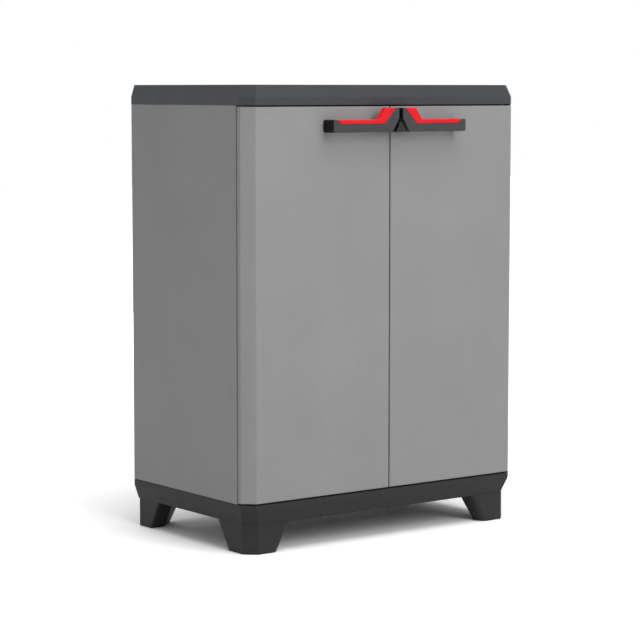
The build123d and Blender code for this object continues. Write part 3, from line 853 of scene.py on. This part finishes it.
def grow_on_points(name, points, tree, sizes, finish):
    """A piece that starts as bare points and gets its shape from the tree, as a plain mesh."""
    mesh = bpy.data.meshes.new(name)
    mesh.from_pydata(points, [], [])
    piece = bpy.data.objects.new(name, mesh)
    scene.collection.objects.link(piece)
    grown = piece.modifiers.new("grown", "NODES")
    grown.node_group = tree
    for socket in tree.interface.items_tree:
        if socket.in_out == "INPUT" and socket.name in sizes:
            grown[socket.identifier] = sizes[socket.name]
        if socket.name == "Finish":
            grown[socket.identifier] = finishes[finish]
    make_plain(piece)
    print(name, "on", len(points), "points, faces:", len(piece.data.polygons))
    return piece


print("tree helpers ready")

# %% [markdown]
# The small models are built from a few shapes: cones for the screws, and curves swept with a round
# profile for the ribs and marks. A sweep that is pressed flat gives a low rounded ridge, which is easier
# to size than a profile drawn point by point.

# %% Small shapes
def cone(tree, sides_round, bottom, top, depth):
    """A cone cut off at its top, with its bottom at height zero. Its sizes are sockets."""
    return add_node(
        tree,
        "GeometryNodeMeshCone",
        values={"Vertices": sides_round},
        links={"Radius Bottom": bottom, "Radius Top": top, "Depth": depth},
    ).outputs["Mesh"]


def placed(tree, mesh, turn=(0.0, 0.0, 0.0), lift=None):
    """A mesh turned inside a tree. A lift is a socket that gives its height."""
    node = add_node(
        tree, "GeometryNodeTransform", values={"Rotation": turn}, links={"Geometry": mesh}
    )
    if lift is not None:
        height = add_node(tree, "ShaderNodeCombineXYZ", links={"Z": lift})
        tree.links.new(height.outputs[0], node.inputs["Translation"])
    return node.outputs[0]


def circle(tree, points, radius):
    """A round curve of so many points. Its radius is a socket."""
    return add_node(
        tree, "GeometryNodeCurvePrimitiveCircle", values={"Resolution": points}, links={"Radius": radius}
    ).outputs[0]


def flat_sweep(tree, curve, profile, half_width, height, capped):
    """A curve swept with a round profile and pressed flat from its half width to its height."""
    swept = add_node(
        tree,
        "GeometryNodeCurveToMesh",
        values={"Fill Caps": capped},
        links={"Curve": curve, "Profile Curve": profile},
    ).outputs[0]
    squeeze = combined(tree, "DIVIDE", height, half_width)
    flatten = add_node(
        tree, "ShaderNodeCombineXYZ", values={"X": 1.0, "Y": 1.0}, links={"Z": squeeze}
    ).outputs[0]
    return add_node(
        tree, "GeometryNodeTransform", links={"Geometry": swept, "Scale": flatten}
    ).outputs[0]


print("small shapes ready")

# %% [markdown]
# Each handle is held from inside the door by two screws, and each padlock ear by a third. They are the
# usual kind for plastic: a six-sided head on a round flange, with a cross recess for a screwdriver. The
# tree stacks a flange, a six-sided cone and a shank, and cuts two crossed slots out of the head.

# %% Screw model
screw_sizes = {
    "Flange Radius": 0.0042,
    "Flange Height": 0.0009,
    "Head Radius": 0.0034,
    "Head Top Radius": 0.0031,
    "Head Height": 0.0017,
    "Slot Width": 0.0010,
    "Slot Length": 0.0040,
    "Slot Depth": 0.0024,
    "Shank Radius": 0.0020,
    "Shank Tip Radius": 0.0012,
    "Shank Length": 0.0110,
}
flange_vertices = 32
head_vertices = 6
shank_vertices = 16
toward_inside = (-math.pi / 2, 0.0, 0.0)
point_down = (math.pi, 0.0, 0.0)

screw_tree, size = start_tree("flanged_screw", screw_sizes)
flange = cone(
    screw_tree, flange_vertices, size["Flange Radius"], size["Head Radius"], size["Flange Height"]
)
head = cone(screw_tree, head_vertices, size["Head Radius"], size["Head Top Radius"], size["Head Height"])
head = placed(screw_tree, head, lift=size["Flange Height"])
crown = combined(screw_tree, "ADD", size["Flange Height"], size["Head Height"])
slot_size = add_node(
    screw_tree,
    "ShaderNodeCombineXYZ",
    links={"X": size["Slot Width"], "Y": size["Slot Length"], "Z": size["Slot Depth"]},
).outputs[0]
recessed = add_node(
    screw_tree, "GeometryNodeMeshBoolean", operation="DIFFERENCE", solver="MANIFOLD", links={"Mesh 1": head}
)
for quarter in range(2):
    slot_box = add_node(screw_tree, "GeometryNodeMeshCube", links={"Size": slot_size}).outputs["Mesh"]
    slot_box = placed(screw_tree, slot_box, turn=(0.0, 0.0, quarter * math.pi / 2))
    slot_box = placed(screw_tree, slot_box, lift=crown)
    screw_tree.links.new(slot_box, recessed.inputs["Mesh 2"])
shank = cone(
    screw_tree, shank_vertices, size["Shank Radius"], size["Shank Tip Radius"], size["Shank Length"]
)
shank = placed(screw_tree, shank, turn=point_down)
screw_model = add_node(screw_tree, "GeometryNodeJoinGeometry")
for shape in (flange, recessed.outputs[0], shank):
    screw_tree.links.new(shape, screw_model.inputs[0])
end_tree(screw_tree, size, screw_model.outputs[0], toward_inside)
print("screw tree nodes:", len(screw_tree.nodes))

# %% [markdown]
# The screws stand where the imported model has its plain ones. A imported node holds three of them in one
# mesh, so the mesh is taken apart into its separate solids, and the box of each gives one point. Typed
# coordinates would go wrong as soon as a handle moved.

# %% Screws
head_depth = screw_sizes["Flange Height"] + screw_sizes["Head Height"]


def islands(mesh):
    """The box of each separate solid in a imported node's mesh."""
    work = bmesh.new()
    work.from_mesh(mesh)
    bmesh.ops.remove_doubles(work, verts=work.verts, dist=merge_distance)
    waiting = set(work.verts)
    boxes = []
    while waiting:
        stack = [waiting.pop()]
        found = []
        while stack:
            vert = stack.pop()
            found.append(vert.co.copy())
            for edge in vert.link_edges:
                other = edge.other_vert(vert)
                if other in waiting:
                    waiting.remove(other)
                    stack.append(other)
        low = Vector([min(co[k] for co in found) for k in range(3)])
        high = Vector([max(co[k] for co in found) for k in range(3)])
        boxes.append((low, high))
    work.free()
    return sorted(boxes, key=lambda box: tuple(box[0]))


for side in sides:
    node = f"handle_screws_{side}"
    seats = []
    for low, high in islands(nodes[node].data):
        seats.append(((low.x + high.x) / 2, high.y - head_depth, (low.z + high.z) / 2))
    screws = grow_on_points(f"flanged_screws_{side}", seats, screw_tree, screw_sizes, "screw_zinc")
    stand_for(screws, node)

# %% [markdown]
# The shelf and the cabinet's floor have low, half-round grip ribs, so that boxes don't slide when the
# cabinet is moved. Each rib is a straight line swept with a small circle and pressed flat, set on one
# point at its middle, so that its lower half is in the plate.

# %% Grip ribs
rib_sizes = {"Length": 0.56, "Half Width": 0.0016, "Height": 0.0008}
rib_profile_points = 12
rib_count = 9
rib_step = 0.034
floor_drop = 0.012

rib_tree, size = start_tree("grip_rib", rib_sizes)
half_length = add_node(
    rib_tree, "ShaderNodeMath", operation="MULTIPLY", values={1: 0.5}, links={0: size["Length"]}
).outputs[0]
line_end = add_node(rib_tree, "ShaderNodeCombineXYZ", links={"X": half_length}).outputs[0]
line_start = add_node(
    rib_tree, "ShaderNodeVectorMath", operation="SCALE", values={"Scale": -1.0}, links={0: line_end}
).outputs[0]
line = add_node(
    rib_tree, "GeometryNodeCurvePrimitiveLine", links={"Start": line_start, "End": line_end}
).outputs[0]
profile = circle(rib_tree, rib_profile_points, size["Half Width"])
rib_model = flat_sweep(rib_tree, line, profile, size["Half Width"], size["Height"], capped=True)
end_tree(rib_tree, size, rib_model)

shelf_low, shelf_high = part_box("shelf")
rib_rows = [(k - (rib_count - 1) / 2) * rib_step for k in range(rib_count)]
shelf_middle = (shelf_low[1] + shelf_high[1]) / 2
floor_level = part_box("base")[1][2] - floor_drop
rib_places = {
    "shelf_grip_ribs": (shelf_high[2], "panel_grey"),
    "floor_grip_ribs": (floor_level, "base_grey"),
}
for name, (level, finish) in rib_places.items():
    points = [(0.0, shelf_middle + row, level) for row in rib_rows]
    ribs = grow_on_points(name, points, rib_tree, rib_sizes, finish)
    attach(ribs, "carcass")

# %% [markdown]
# When a moulded door leaves its mould, steel pins push it out, and each pin leaves a faint round mark on
# the inside. The marks sit between the ribs, one in each field. A small circle swept round a larger one,
# pressed almost flat, gives the mark its raised lip.

# %% Ejector marks
mark_sizes = {"Radius": 0.0055, "Lip": 0.0006, "Height": 0.00025}
mark_points = 24
lip_points = 6
skin = 0.003
stile = 0.030
field_rows = 5
field_columns = 4
row_pitch = 0.120

mark_tree, size = start_tree("ejector_mark", mark_sizes)
outline = circle(mark_tree, mark_points, size["Radius"])
lip = circle(mark_tree, lip_points, size["Lip"])
mark_model = flat_sweep(mark_tree, outline, lip, size["Lip"], size["Height"], capped=False)
end_tree(mark_tree, size, mark_model, toward_inside)

for side in sides:
    low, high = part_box(f"door_{side}")
    first, last = (low[0] + stile, high[0] - skin) if side == "left" else (low[0] + skin, high[0] - stile)
    points = []
    for row in range(field_rows):
        for column in range(field_columns):
            across = first + (last - first) * (column + 0.5) / field_columns
            points.append((across, low[1] + skin, low[2] + row_pitch * (row + 0.5)))
    marks = grow_on_points(f"ejector_marks_{side}", points, mark_tree, mark_sizes, "panel_grey")
    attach(marks, f"{side}_door")
